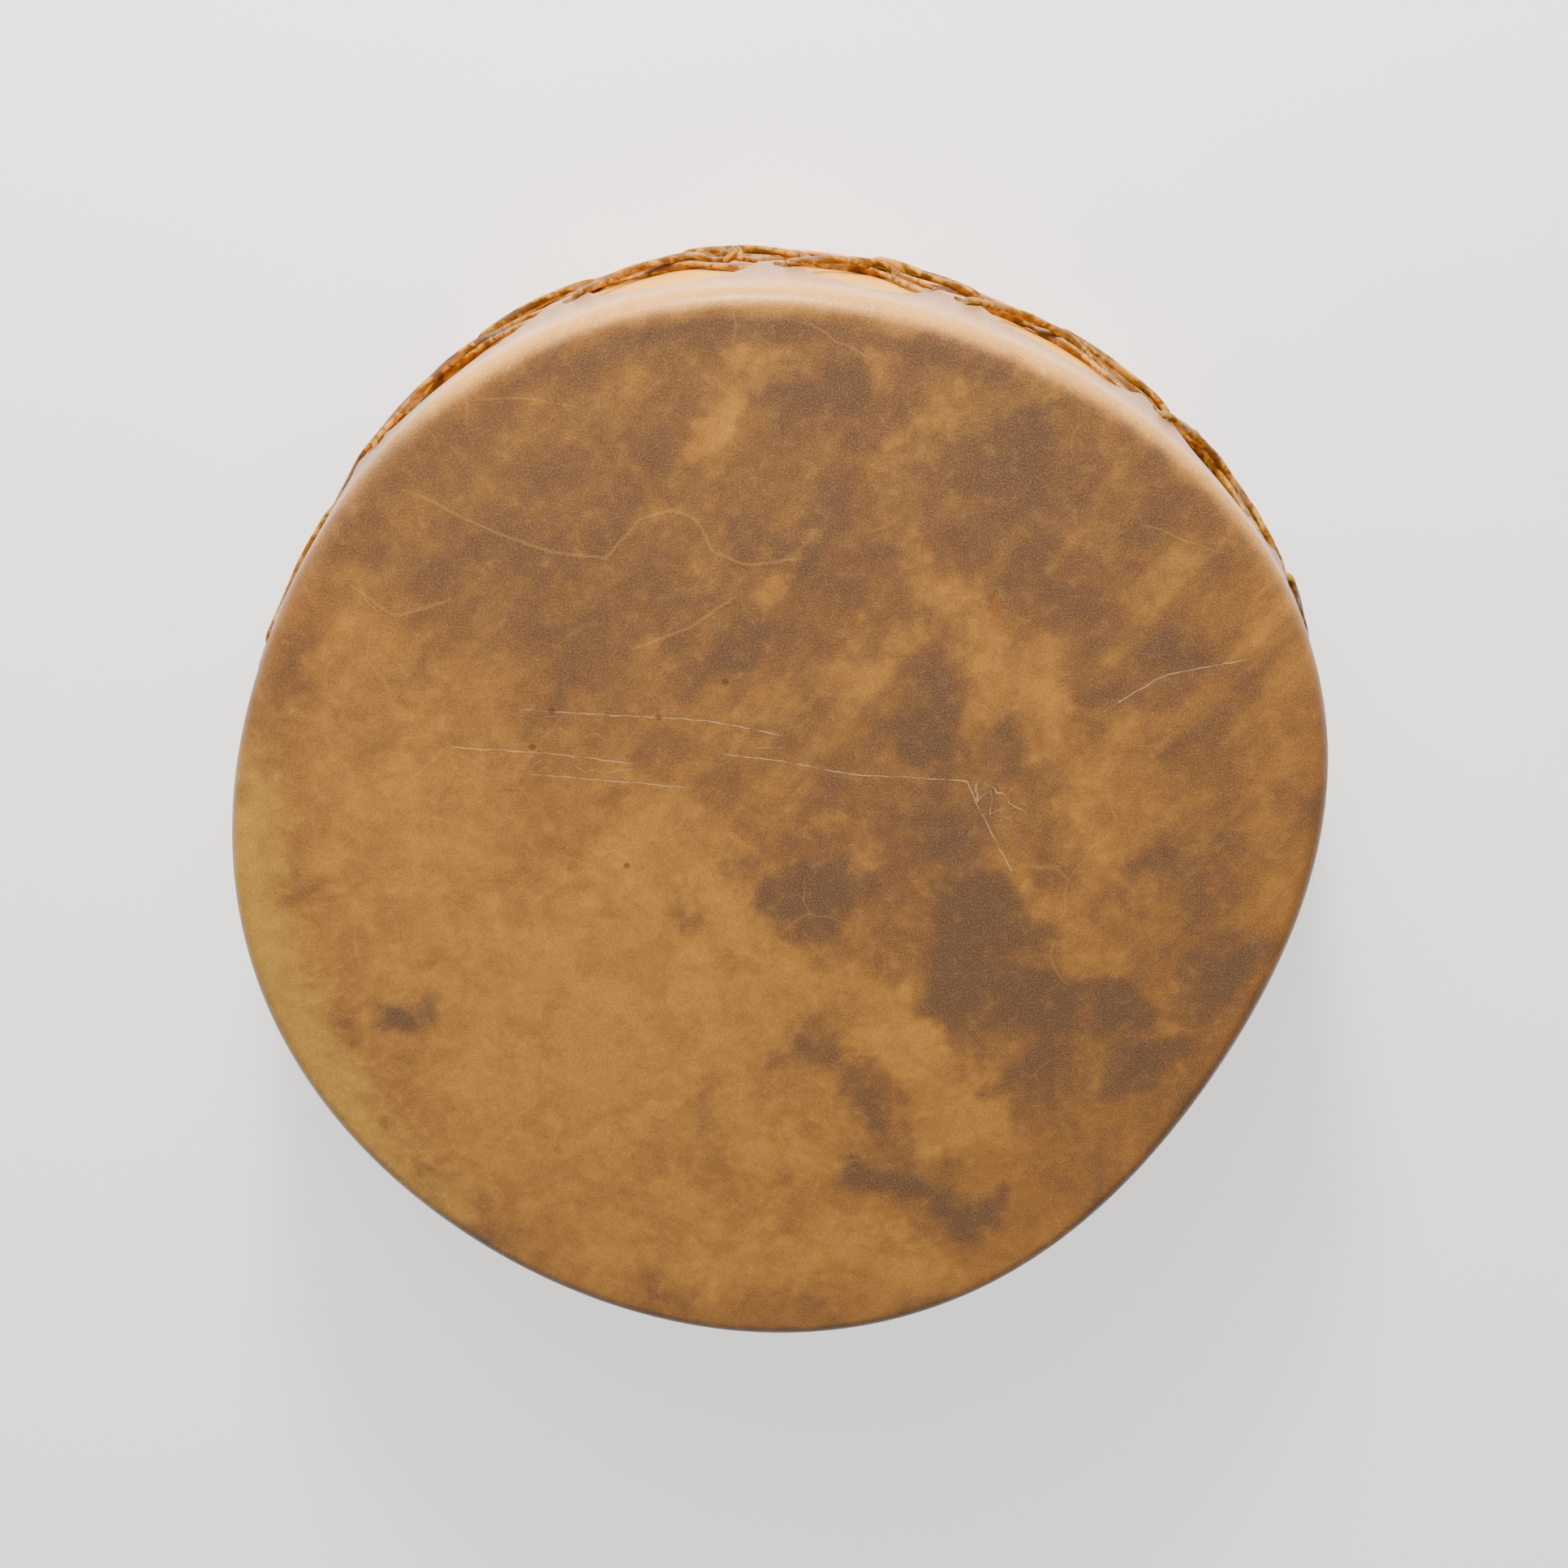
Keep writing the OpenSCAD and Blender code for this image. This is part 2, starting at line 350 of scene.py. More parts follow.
# Pale patches and streaks, the same way
PALE = (
    ((54, -86), (26, 16), -20, 1.1),
    ((74, -116), (24, 15), -50, 1.0),
    ((-10, -130), (40, 28), 0, 0.7),
    ((95, 80), (85, 12), -59, 0.6),
    ((112, -20), (60, 9), -66, 0.5),
    ((-150, 80), (30, 30), 0, 0.5),
    ((30, 22), (16, 10), 0, 0.4),
    ((-72, -66), (105, 66), 35, 1.0),
    ((-145, -10), (45, 90), 0, 0.7),
    ((-57, -10), (60, 40), 0, 0.5),
    ((-8, -190), (90, 22), -5, 0.8),
    ((-68, -157), (60, 40), 0, 0.6),
    ((-3, 179), (5, 34), -42, 0.8),
    ((16, 122), (4, 34), -43, 0.7),
    ((55, 92), (3.5, 22), -40, 0.6),
    ((-30, 69), (30, 10), 0, 0.3),
    ((148, 31), (18, 26), 0, 0.35),
    ((59, 172), (3.5, 26), -40, 0.5),
)
SCRATCHES = (
    ((-94, 68), (-65, 65), (-41, 63), (-22, 61), (6, 54)),
    ((-123, 53), (-84, 49), (-55, 44)),
    ((-13, 46), (6, 43), (35, 36), (80, 32), (101, 19)),
    ((80, 32), (85, 19), (97, -7)),
    ((87, 31), (98, 23)),
    ((-91, 40), (-33, 33)),
    ((136, 61), (144, 66), (157, 74), (186, 79)),
)
VEINS = (
    ((-126, 156), (-102, 142), (-78, 132), (-57, 129), (-43, 144), (-31, 147), (-21, 143),
     (-16, 130), (-3, 124), (15, 126)),
    ((-155, 120), (-141, 108), (-120, 114)),
    ((-48, 92), (-26, 100), (-11, 110)),
)
DROPS = ((92, 101), (92, 107), (98, 64), (108, 46), (147, 121))
SPECKS = ((-83, 67), (-41, 63), (-92, 52), (-14, 77), (-58, -1))

DARK = rgb(94, 69, 52)
BROWN = rgb(120, 81, 49)
TAN = rgb(141, 94, 48)
GOLD = rgb(181, 125, 52)
STRAW = rgb(198, 150, 60)
# pale cream: the hide's flecks, veins and rim colour, and also painted light on the top of the rim
CREAM_AND_PAINTED_LIGHT = rgb(220, 156, 78)
MAUVE = rgb(160, 112, 76)
SCUFF, FLECK, PORE = rgb(226, 190, 146), rgb(84, 52, 30), rgb(78, 50, 30)
SCRATCH, SPECK, DROP = rgb(220, 184, 140), rgb(70, 45, 28), rgb(150, 82, 28)
WOOD, WOOD_BAND = rgb(242, 174, 56), rgb(226, 152, 42)
WOOD_LINE, WOOD_PORE = rgb(200, 130, 48), rgb(150, 92, 40)
LACE_BROWN, LACE_AMBER = rgb(98, 60, 16), rgb(150, 98, 26)
LACE_PURPLE, LACE_STRAW = rgb(84, 54, 38), rgb(178, 126, 42)
LACE_EDGE, LACE_FIBRE = rgb(192, 144, 64), rgb(80, 48, 24)
IRON, RUST = rgb(84, 78, 72), rgb(104, 70, 46)
SHEEN, LACE_SHEEN = 0.16, 0.22  # specular levels

# Attribute, how ragged its edge is, where it starts and where it is full, strength and colour
PALE_MARK = ("pale", 0.8, 0.15, 0.85, 0.85, GOLD)
MARKS = (
    # the stain mark holds real stains and also painted shade: a painted dark reflection inside the top
    # fold and a dark line on the lower rim
    ("stain_and_painted_shade", -1.0, 0.0, 0.95, 1.0, DARK),
    ("straw", 1.1, 0.2, 1.1, 0.62, STRAW),
    # the cream mark is partly the rim's own paler colour and partly painted light, strongest on the top of
    # the rim
    ("cream_and_painted_light", 0.3, 0.05, 0.9, 0.85, CREAM_AND_PAINTED_LIGHT),
    ("mauve", 0.3, 0.1, 1.0, 0.85, MAUVE),
)
WOBBLE = 1.6 * MM  # how far a scratch or a vein strays from its line
SCRATCH_WIDE, VEIN_WIDE = 0.36 * MM, 1.0 * MM
SPECK_R, DROP_R = 1.8 * MM, 1.7 * MM


def hide_ground(s, hide, broad, clouds):
    """Tan and brown clouds with streaks across them, stronger on the upper half."""
    streaks = s.noise(s.mapped(hide, -42, (1, 6, 1)), 0.02, 4, 0.55)
    colour = s.mix(s.between(broad, 0.38, 0.64), BROWN, TAN)
    colour = s.mix(s.between(clouds, 0.42, 0.68, 0, 0.32), colour, GOLD)
    colour = s.mix(s.between(clouds, 0.3, 0.46, 0.28, 0), colour, DARK)
    upper = s.between(s.vector("DOT_PRODUCT", hide, (0.2, 0.98, 0)), -0.03, 0.09, 0.3, 0.72)
    colour = s.mix(s.math("MULTIPLY", s.between(streaks, 0.48, 0.66), upper), colour, GOLD)
    return s.mix(s.math("MULTIPLY", s.between(streaks, 0.32, 0.48, 1, 0), upper), colour, DARK)


def hide_marks(s, hide, colour, clouds, mottle):
    """Pale places, stains with painted shade near the rim, the colours of the rim with painted light on
    its top, and small scuffs on it.
    """
    ragged = s.math("MULTIPLY", s.math("SUBTRACT", clouds, 0.5), 1.1)
    ragged = s.math("MULTIPLY_ADD", s.math("SUBTRACT", mottle, 0.5), 0.4, ragged)
    colour = s.mark(colour, ragged, *PALE_MARK)
    patches = s.noise(hide, 0.018, 6, 0.68, 0.6)
    colour = s.mix(s.between(patches, 0.44, 0.62, 0, 0.55), colour, TAN)
    for mark in MARKS:
        colour = s.mark(colour, ragged, *mark)
    scuffs = s.between(s.noise(hide, 0.0045, 4, 0.7), 0.6, 0.68)
    on_rim = s.between(s.attribute("cream_and_painted_light").outputs["Fac"], 0.1, 0.5, 0, 0.35)
    return s.mix(s.math("MULTIPLY", scuffs, on_rim), colour, SCUFF)


def hide_grain(s, colour, mottle, pores, grain):
    """Fine lighter and darker flecks, and pores."""
    colour = s.mix(s.between(mottle, 0.35, 0.7, 0.14, 0), colour, FLECK)
    colour = s.mix(s.between(mottle, 0.52, 0.75, 0, 0.1), colour, CREAM_AND_PAINTED_LIGHT)
    colour = s.mix(s.between(pores, 0.0, 0.5, 0.42, 0), colour, PORE)
    colour = s.mix(s.between(grain, 0.46, 0.68, 0, 0.2), colour, CREAM_AND_PAINTED_LIGHT)
    return s.mix(s.between(grain, 0.32, 0.5, 0.2, 0), colour, PORE)


def blood_vessels(s, hide, broad):
    """1 on the traces of blood vessels, 0 elsewhere."""
    place = s.vector("ADD", hide, s.vector("SCALE", s.noise_vector(hide, 0.03), 0.02))
    traces = s.between(s.cells(place, 0.075, "DISTANCE_TO_EDGE"), 0.0, 0.009, 1, 0)
    return s.math("MULTIPLY", traces, s.between(broad, 0.5, 0.6))


def wear(s, colour, height, hide):
    """Scratches, veins, specks and dried drops on top of the hide."""
    wobble = s.math("MULTIPLY", s.math("SUBTRACT", s.noise(hide, 0.006, 3), 0.5), WOBBLE)
    broken = s.between(s.noise(hide, 0.007, 3), 0.35, 0.6, 0.25, 1)
    scratch = s.math("MULTIPLY", s.line("scratch", wobble, SCRATCH_WIDE), broken)
    vein = s.line("vein", wobble, VEIN_WIDE)
    colour = s.mix(s.between(vein, 0, 1, 0, 0.17), colour, CREAM_AND_PAINTED_LIGHT)
    colour = s.mix(s.between(scratch, 0, 0.8, 0, 0.45), colour, SCRATCH)
    colour = s.mix(s.math("MULTIPLY", s.dot("speck", SPECK_R), 0.6), colour, SPECK)
    colour = s.mix(s.math("MULTIPLY", s.dot("drop", DROP_R), 0.6), colour, DROP)
    height = s.math("SUBTRACT", height, s.math("MULTIPLY", scratch, 0.8))
    return colour, s.math("ADD", height, s.math("MULTIPLY", vein, 0.5))


def rawhide(name, marked):
    """Dried rawhide: mottled tan, with stains, painted light and shade at the rim, pores, and on the
    marked head its own scratches.
    """
    s = Shader(name)
    hide = s.attribute("hide").outputs["Vector"]
    broad = s.noise(hide, 0.075, 5, 0.6, 0.4)
    clouds = s.noise(hide, 0.024, 7, 0.62, 0.5)
    mottle = s.noise(hide, 0.0065, 5, 0.65, 0.3)
    pores = s.cells(hide, 0.001)
    grain = s.noise(hide, 0.0007, 2, 0.7)
    vessels = blood_vessels(s, hide, broad)
    colour = hide_ground(s, hide, broad, clouds)
    colour = hide_marks(s, hide, colour, clouds, mottle)
    colour = hide_grain(s, colour, mottle, pores, grain)
    colour = s.mix(s.math("MULTIPLY", vessels, 0.13), colour, CREAM_AND_PAINTED_LIGHT)
    height = s.math("MULTIPLY_ADD", grain, 0.35, s.math("MULTIPLY", pores, 0.4))
    height = s.math("MULTIPLY_ADD", clouds, 0.8, height)
    height = s.math("MULTIPLY_ADD", vessels, 0.3, height)
    if marked:
        colour, height = wear(s, colour, height, hide)
    roughness = s.between(clouds, 0.3, 0.7, 0.34, 0.46)
    roughness = s.math("MULTIPLY_ADD", s.attribute("cream_and_painted_light").outputs["Fac"], -0.14, roughness)
    return s.finish(colour, roughness, s.bump(height, 0.35, 0.0004), SHEEN)


def bent_wood():
    """Pale softwood with its grain along the plank; the grain attribute is (along, across, in)."""
    s = Shader("bent_wood")
    place = s.attribute("grain").outputs["Vector"]
    long_grain = s.noise(s.mapped(place, 0, (28, 1, 1)), 0.0045, 6, 0.6, 0.3)
    growth = s.noise(s.mapped(place, 0, (80, 1, 1.6)), 0.016, 3, 0.5, 0.8)
    pores = s.noise(s.mapped(place, 0, (16, 1, 1)), 0.0009, 2, 0.6)
    colour = s.mix(s.between(growth, 0.35, 0.65), WOOD, WOOD_BAND)
    colour = s.mix(s.between(long_grain, 0.5, 0.75, 0, 0.45), colour, WOOD_LINE)
    colour = s.mix(s.between(pores, 0.6, 0.8, 0, 0.3), colour, WOOD_PORE)
    height = s.math("MULTIPLY_ADD", pores, -0.6, s.math("MULTIPLY", long_grain, 0.8))
    roughness = s.between(long_grain, 0.3, 0.7, 0.42, 0.55)
    return s.finish(colour, roughness, s.bump(height, 0.3, 0.0003), SHEEN)


def lace_hide():
    """Twisted rawhide strip: amber, straw at its edges, with dark purple-brown stretches."""
    s = Shader("lace_rawhide")
    place = s.attribute("lace").outputs["Vector"]
    edge = s.attribute("edge").outputs["Fac"]
    stretch = s.noise(place, 0.028, 3, 0.6)
    mottle = s.noise(place, 0.0045, 5, 0.65, 0.5)
    fibres = s.noise(s.mapped(place, 0, (8, 1, 1)), 0.0007, 3, 0.6)
    colour = s.mix(s.between(mottle, 0.38, 0.62), LACE_BROWN, LACE_AMBER)
    colour = s.mix(s.between(stretch, 0.52, 0.66, 0, 0.85), colour, LACE_PURPLE)
    colour = s.mix(s.between(stretch, 0.28, 0.42, 0.6, 0), colour, LACE_STRAW)
    light = s.math("MULTIPLY", edge, s.between(mottle, 0.35, 0.6))
    colour = s.mix(s.between(light, 0.35, 0.95, 0, 0.6), colour, LACE_EDGE)
    colour = s.mix(s.between(fibres, 0.55, 0.75, 0, 0.3), colour, LACE_FIBRE)
    height = s.math("MULTIPLY_ADD", fibres, 0.6, s.math("MULTIPLY", mottle, 0.8))
    roughness = s.between(mottle, 0.3, 0.7, 0.3, 0.44)
    return s.finish(colour, roughness, s.bump(height, 0.5, 0.0004), LACE_SHEEN)


def tack_iron():
    """Old iron, with rust in its pits."""
    s = Shader("tack_iron")
    place = s.node("ShaderNodeTexCoord").outputs["Object"]
    pits = s.noise(place, 0.0008, 5, 0.7)
    colour = s.mix(s.between(pits, 0.45, 0.7), IRON, RUST)
    s.bsdf.inputs["Metallic"].default_value = 0.85
    return s.finish(colour, s.between(pits, 0.3, 0.7, 0.4, 0.65), s.bump(pits, 0.4, 0.0002))


# ---------- heads ----------

FLAT_RINGS = 62
INNER_RINGS = 12
FOLD_ROWS = 10
SKIRT_ROWS = 28
EDGE_ROUND = 0.5 * MM
COARSE_AT = (0.88, 0.5, 0.25, 0.12, 0.06)  # share of the flat radius at which the rings halve
RIPPLE = 0.3 * MM  # how uneven the flat skin is

# A skirt's edge: its tabs are lopsided, pointed, and cut by hand
FLANK = 11 * MM  # how much deeper the edge is beside a tab than in the valley
TAB_LENGTH = TIP_DEPTH - VALLEY_DEPTH - FLANK
TAB_LEFT, TAB_RIGHT = 18 * MM, 10.5 * MM
TAB_POINT = 2.6
CUT_WAVES = ((5, 1.0 * MM, 0), (11, 0.7 * MM, 1))  # waves round the rim, size, phase
UNCUT = 9 * MM  # no waves this near a hole

# How far parts of a skirt stand out, and how wide those parts are
TAB_FLARE = 0.55 * FLARE
RIDGE, RIDGE_WIDTH, RIDGE_SLOPE = 1.0 * MM, 4 * MM, 19 * MM  # over the lace under the skirt
CURL, CURL_WIDTH = 0.7 * MM, 4 * MM
PLEAT, PLEATS = 0.35 * MM, 3
SLACK, SLACK_AT, SLACK_SPREAD = 1.6 * MM, 158, 20


def skirt_edge(local):
    """How far behind its face a skirt ends, at a place counted in hole spacings from a hole."""
    side = (local - np.round(local)) * PITCH_ARC
    away = np.abs(side)
    flank = FLANK * np.clip(1 - 2 * away / PITCH_ARC, 0, 1) ** 1.2
    half_width = np.where(side < 0, TAB_LEFT, TAB_RIGHT)
    tab = TAB_LENGTH * np.exp(-((away / half_width) ** TAB_POINT))
    round_trip = 2 * math.pi * local / HOLES
    hand_cut = sum(size * np.sin(waves * round_trip + phase) for waves, size, phase in CUT_WAVES)
    return VALLEY_DEPTH + flank + tab + hand_cut * (1 - np.exp(-away / UNCUT))


def stand_off(local, theta, depth, edge):
    """How far a skirt stands out from where it would lie on the wood."""
    down = np.clip((depth - FOLD) / (TIP_DEPTH - FOLD), 0, 1.1)
    side = local - np.round(local)
    tab = 0.5 + 0.5 * np.cos(2 * math.pi * side)
    flare = TAB_FLARE * down**1.2 * (0.2 + 0.8 * tab)
    ridge = np.exp(-(((depth - HOLE_DEPTH - RIDGE_SLOPE * np.abs(side)) / RIDGE_WIDTH) ** 2))
    ridge = ridge * smooth(-0.26, -0.12, side) * (1 - smooth(-0.02, 0.06, side))
    curl = np.exp(-(edge - depth) / CURL_WIDTH) * (1 + 0.6 * np.sin(7 * theta))
    pleat = np.sin(2 * math.pi * PLEATS * local + 1.7 * np.sin(5 * theta)) * tab
    slack = np.exp(-(((np.degrees(theta) % 360 - SLACK_AT) / SLACK_SPREAD) ** 2))
    return flare + RIDGE * ridge + CURL * curl + down * (PLEAT * pleat + SLACK * slack)


def hole_cells(along, behind):
    """Which cells of a skirt's grid are inside a lace hole, from each vertex's place beside the hole."""
    following = np.roll(along, -1, 1)
    centre_a = (along[:-1] + following[1:]) / 2
    centre_b = (behind[:-1] + np.roll(behind, -1, 1)[1:]) / 2
    near = np.abs(following[:-1] - along[:-1]) < PITCH_ARC / 2
    return (centre_a**2 + centre_b**2 < (HOLE_R * 1.02) ** 2) & near


def touching(cells):
    """Which vertices of a skirt's grid touch any of those cells."""
    found = np.zeros((SKIRT_ROWS, AROUND), bool)
    for down in (0, 1):
        for across in (0, 1):
            found[down : down + SKIRT_ROWS - 1] |= np.roll(cells, across, 1)
    return found


def hole_scale(along, behind, cut):
    """Which vertices move for a hole, and how many times farther from its middle they end up."""
    touches_cut, touches_kept = touching(cut), touching(~cut)
    on_rim = touches_cut & touches_kept
    size = np.hypot(along, behind)
    next_ring = (size < HOLE_R * 1.7) & ~touches_cut
    reach = np.where(on_rim, HOLE_R, HOLE_R * 0.55 + size * 0.72)
    return on_rim | next_ring, reach / np.maximum(size, 1e-9)


def halve(ring, half):
    """Faces between a ring and one inside it with half as many vertices."""
    faces = []
    n = len(ring)
    for j in range(len(half)):
        a, b, c = ring[2 * j], ring[2 * j + 1], ring[(2 * j + 2) % n]
        d, e = half[j], half[(j + 1) % len(half)]
        faces += [(a, b, d), (b, e, d), (b, c, e)]
    return faces


class SkinMesh:
    """Vertices and faces of a head, with each vertex's place on the unrolled hide."""

    def __init__(self, front):
        self.front = front
        self.offset = 0.0 if front else 0.5
        self.vertices, self.hide, self.faces = [], [], []

    def add(self, theta, radius, depth, unrolled):
        """A ring of vertices, depth behind the face. Gives their numbers."""
        first = len(self.vertices)
        z = DEPTH - depth if self.front else depth
        z = np.broadcast_to(z, theta.shape)
        self.vertices += list(np.stack([radius * np.cos(theta), radius * np.sin(theta), z], 1))
        away = np.full(theta.shape, 0.0 if self.front else 3.0)
        self.hide += list(np.stack([unrolled * np.cos(theta), unrolled * np.sin(theta), away], 1))
        return list(range(first, first + len(theta)))

    def flat(self, ring, inner):
        """The flat skin, from its outermost ring, which is there already, to its centre."""
        count = AROUND
        halvings = list(COARSE_AT)
        for share in np.linspace(1, 0, INNER_RINGS if inner else FLAT_RINGS)[1:-1]:
            halved = bool(halvings) and share < halvings[0]
            if halved:
                halvings.pop(0)
                count //= 2
            theta = angle_at(np.arange(count) * HOLES / count)
            radius = share * (rim(theta) - FOLD)
            wave = RIPPLE * np.sin(3 * theta + 9 * share) * share * (1 - share) * 4
            now = self.add(theta, radius, np.abs(wave) + (SKIN if inner else 0), radius)
            self.faces += halve(ring, now) if halved else same(ring, now)
            ring = now
        middle = self.add(np.zeros(1), np.zeros(1), SKIN if inner else 0.0, np.zeros(1))[0]
        self.faces += [(ring[j], ring[(j + 1) % len(ring)], middle) for j in range(len(ring))]

    def fold(self, inner):
        """Rows from the skirt's top to the edge of the flat skin."""
        theta = angle_at(np.arange(AROUND) * HOLES / AROUND)
        radius = FOLD - SKIN if inner else FOLD
        rows = []
        for turn in np.linspace(math.pi / 2, 0, FOLD_ROWS):
            r = rim(theta) - FOLD + radius * math.sin(turn)
            unrolled = rim(theta) - FOLD + FOLD * turn
            rows.append(self.add(theta, r, FOLD - radius * math.cos(turn), unrolled))
        return rows

    def skirt_places(self):
        """The skirt's grid: hole spacings on, angle, depth, and the edge's depth, with vertices moved
        onto the rims of the holes. Also which cells the holes cut away."""
        u = np.arange(AROUND) * HOLES / AROUND
        local = np.tile(u - self.offset, (SKIRT_ROWS, 1))
        theta = np.tile(angle_at(u), (SKIRT_ROWS, 1))
        share = np.linspace(0, 1, SKIRT_ROWS + 1)[1:, None]
        edge = skirt_edge(local)
        depth = FOLD + (edge - EDGE_ROUND - FOLD) * share
        hole_theta = angle_at(np.round(local) + self.offset)
        along = np.angle(np.exp(1j * (theta - hole_theta))) * RIM_R
        behind = depth - HOLE_DEPTH
        cut = hole_cells(along, behind)
        moved, scale = hole_scale(along, behind, cut)
        theta = np.where(moved, hole_theta + along * scale / RIM_R, theta)
        depth = np.where(moved, HOLE_DEPTH + behind * scale, depth)
        return local, theta, depth, edge, cut

    def skirt(self, top_outer, top_inner):
        """The skirt's two sides, the walls of its holes, and its rounded edge."""
        local, theta, depth, edge, cut = self.skirt_places()
        unrolled = rim(theta) - FOLD + FOLD * math.pi / 2 + depth - FOLD
        out = rim(theta) + stand_off(local, theta, depth, edge)
        outer, inner = [], []
        for i in range(SKIRT_ROWS):
            outer.append(self.add(theta[i], out[i], depth[i], unrolled[i]))
            inner.append(self.add(theta[i], out[i] - SKIN, depth[i], unrolled[i]))
        self.faces += same(top_outer, outer[0]) + same(top_inner, inner[0])
        for i in range(SKIRT_ROWS - 1):
            for j in range(AROUND):
                self.cell(outer, inner, cut, i, j)
        lip = self.add(theta[-1], out[-1] - SKIN / 2, depth[-1] + EDGE_ROUND, unrolled[-1])
        self.faces += same(outer[-1], lip) + same(lip, inner[-1])

    def cell(self, outer, inner, cut, i, j):
        """The two sides of one cell or, where a hole cuts it away, its share of the hole's wall."""
        k = (j + 1) % AROUND
        a, b, c, d = outer[i][j], outer[i][k], outer[i + 1][k], outer[i + 1][j]
        e, f, g, h = inner[i][j], inner[i][k], inner[i + 1][k], inner[i + 1][j]
        if not cut[i, j]:
            self.faces += [(a, b, c, d), (e, f, g, h)]
            return
        if not cut[i, j - 1]:
            self.faces.append((a, d, h, e))
        if not cut[i, k]:
            self.faces.append((b, c, g, f))
        if i == 0 or not cut[i - 1, j]:
            self.faces.append((a, b, f, e))
        if i == SKIRT_ROWS - 2 or not cut[i + 1, j]:
            self.faces.append((d, c, g, h))


def blotches(places, marks):
    """The strongest soft mark at each place on the face, with wandering edges."""
    x, y = places[:, 0] / MM, places[:, 1] / MM
    for size, shift in ((0.045, 14), (0.016, 9), (0.007, 4)):
        x = x + shift * rough(places, size, 1)
        y = y + shift * rough(places, size, 3)
    best = np.zeros(len(places))
    for centre, half, turn, strength in marks:
        a = math.radians(turn)
        dx, dy = x - centre[0], y - centre[1]
        across = (dx * math.cos(a) + dy * math.sin(a)) / (half[0] + 2)
        up = (dy * math.cos(a) - dx * math.sin(a)) / (half[1] + 2)
        best = np.maximum(best, strength * smooth(1.75, 0.25, np.hypot(across, up)))
    return best


def nearest_line(places, routes):
    """(side distance, share drawn, 0) of the nearest of several polylines given in millimetres."""
    x, y = places[:, 0], places[:, 1]
    best = np.full(len(places), 1.0)
    found = np.zeros((len(places), 3))
    for route in routes:
        points = np.array(route) * MM
        for start, end in zip(points, points[1:]):
            span = end - start
            length = np.hypot(*span)
            along = ((x - start[0]) * span[0] + (y - start[1]) * span[1]) / length
            side = ((x - start[0]) * span[1] - (y - start[1]) * span[0]) / length
            beyond = np.maximum(np.maximum(-along, along - length), 0)
            away = np.hypot(side, beyond)
            near = away < best
            best[near] = away[near]
            found[near, 0] = side[near]
            found[near, 1] = smooth(3 * MM, 0.5 * MM, beyond[near])
    return found


def nearest_dot(places, dots):
    """The vector from the nearest of several points, given in millimetres, to each place."""
    offsets = np.stack([places - (x * MM, y * MM, 0) for x, y in dots])
    nearest = np.argmin(np.linalg.norm(offsets, axis=2), axis=0)
    return offsets[nearest, np.arange(len(places))]


def head(front, material):
    """A head: its flat skin, its fold over the hoop and its skirt, with the hide's marks on it."""
    skin = SkinMesh(front)
    outer_fold, inner_fold = skin.fold(False), skin.fold(True)
    for rows in (outer_fold, inner_fold):
        for upper, lower in zip(rows, rows[1:]):
            skin.faces += same(upper, lower)
    skin.flat(outer_fold[-1], False)
    skin.flat(inner_fold[-1], True)
    skin.skirt(outer_fold[0], inner_fold[0])
    side = "front" if front else "rear"
    name, slot = f"{side}_head", f"{side}_rawhide"
    piece = new_piece(f"{name}_skin", skin.vertices, skin.faces, material, name, 50)
    places = np.array(skin.hide)
    set_values(piece, "hide", places)
    if front:
        set_values(piece, "scratch", nearest_line(places, SCRATCHES))
        set_values(piece, "vein", nearest_line(places, VEINS))
        set_values(piece, "drop", nearest_dot(places, DROPS))
        set_values(piece, "speck", nearest_dot(places, SPECKS))
    tint(piece, places, front)


TOP_AT = 87  # degrees: the middle of the rim's pale side, the side with painted light on it
FLECKED = 8 * MM  # how far the pale rim, with its painted light, stays from the top away from that side


def tint(piece, places, front):
    """The share of each colour of the hide at each vertex, from its place on the unrolled hide; these
    shares also paint light on the top of the rim and shade near it.
    """
    theta = np.degrees(np.arctan2(places[:, 1], places[:, 0])) % 360
    beyond = np.hypot(places[:, 0], places[:, 1]) - rim(np.radians(theta)) + FOLD
    top = 0.5 + 0.5 * np.cos(np.radians(theta - TOP_AT))
    left = smooth(112, 134, theta) * (1 - smooth(205, 255, theta))

    # cream: the rim's paler colour, mostly painted light on the top of the rim, with a painted lit band
    # starting just inside the fold
    start = -1.5 * MM + FLECKED * (1 - top)
    cream_and_painted_light = smooth(start, start + 10 * MM, beyond) * (0.15 + 0.85 * smooth(0.6, 1, top))
    set_values(piece, "cream_and_painted_light", cream_and_painted_light * (1 - 0.65 * left))
    set_values(piece, "straw", left * smooth(140, 185, theta) * smooth(-38 * MM, 2 * MM, beyond))
    set_values(piece, "mauve", smooth(12 * MM, 34 * MM, beyond))

    # painted shade: a painted dark reflection just inside the fold on the top, and painted shade on the
    # fold of the lower rim, both added to the stains
    top_shade = smooth(-20 * MM, -6 * MM, beyond) * (1 - smooth(-3 * MM, 1 * MM, beyond))
    low_shade = smooth(0, 6 * MM, beyond) * (1 - smooth(12 * MM, 20 * MM, beyond))
    shade = 0.75 * smooth(0.85, 1, top) * top_shade + 0.8 * smooth(0.5, 0.15, top) * low_shade
    on_face = places * (1, 1, 0)
    if not front:
        on_face = on_face[:, [1, 0, 2]]
    pale = blotches(on_face, PALE)
    set_values(piece, "pale", pale)
    set_values(piece, "stain_and_painted_shade", np.maximum(blotches(on_face, STAINS) - 0.5 * pale, shade))


# ---------- hoop ----------

